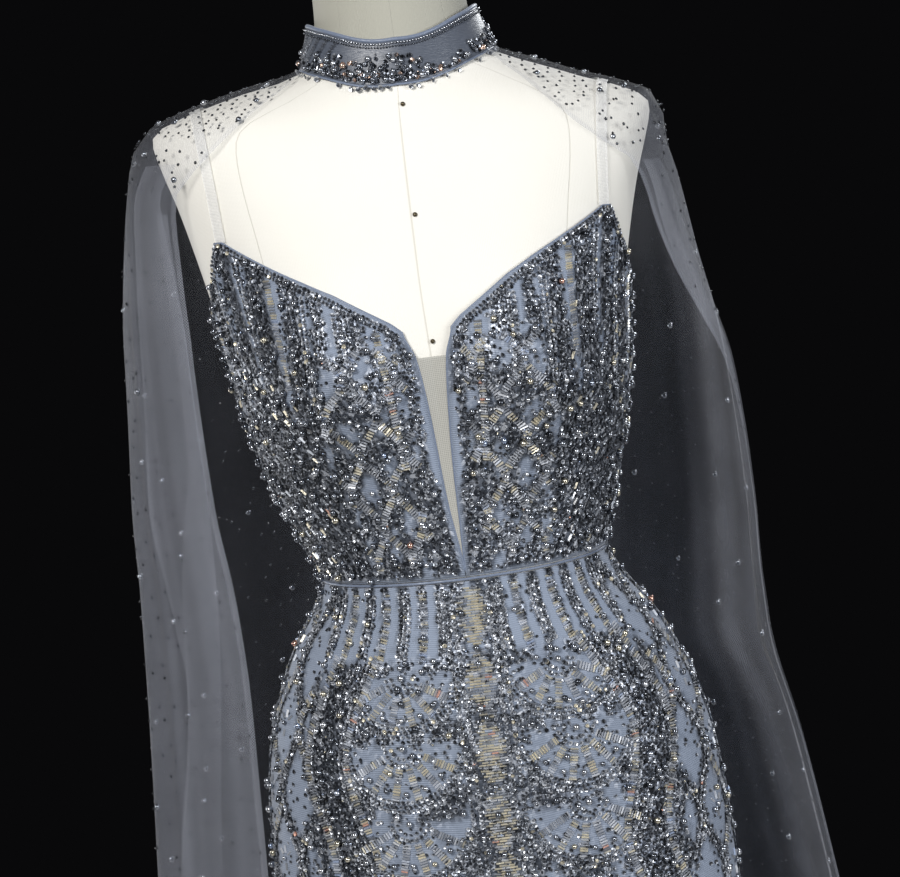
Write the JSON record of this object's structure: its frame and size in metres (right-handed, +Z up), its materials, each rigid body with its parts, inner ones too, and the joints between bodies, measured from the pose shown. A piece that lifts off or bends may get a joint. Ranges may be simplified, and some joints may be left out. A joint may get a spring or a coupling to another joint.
{
  "type": "beaded evening gown with a sheer cape on a limbless dress form",
  "caption": "Floor-length beaded gown with a plunging bodice, standing collar and sheer floor-length cape, worn on a limbless dress form with a pole and round base.",
  "frame": {"origin": "on the floor, at the middle of the base's underside", "axes": "+Z up; the gown faces -Y, so the wearer's left is +X"},
  "size_m": [0.7005, 0.6004, 1.5383],
  "materials": {
    "form_cloth": "ivory jersey drawn smooth over the torso",
    "form_cap": "ivory cloth on a flat cap",
    "pole_steel": "satin",
    "base_metal": "satin black",
    "gown_cloth": "blue-grey cloth under dense silver, gunmetal and pale gold beadwork",
    "piping": "light blue bias piping",
    "nude_mesh": "fine nude mesh",
    "strap_tape": "translucent tape",
    "collar_satin": "blue-grey satin under beadwork",
    "cape_tulle": "sheer grey tulle",
    "button_satin": "satin-covered",
    "zip_metal": "bright"
  },
  "bodies": {
    "root": {"form_torso": "form_cloth", "form_neck_cap": "form_cap", "form_pole": "pole_steel", "form_base": "base_metal", "skirt_front": "gown_cloth", "skirt_back_left": "gown_cloth", "skirt_back_right": "gown_cloth", "waist_piping": "piping", "bodice_cup_left": "gown_cloth", "bodice_cup_right": "gown_cloth", "bodice_back_left": "gown_cloth", "bodice_back_right": "gown_cloth", "plunge_insert": "nude_mesh", "strap_left": "strap_tape", "strap_right": "strap_tape", "collar_band": "collar_satin", "cape_left": "cape_tulle", "cape_right": "cape_tulle", "collar_button_lower": "button_satin", "collar_button_upper": "button_satin", "zip_slider": "zip_metal"}
  },
  "joints": []
}
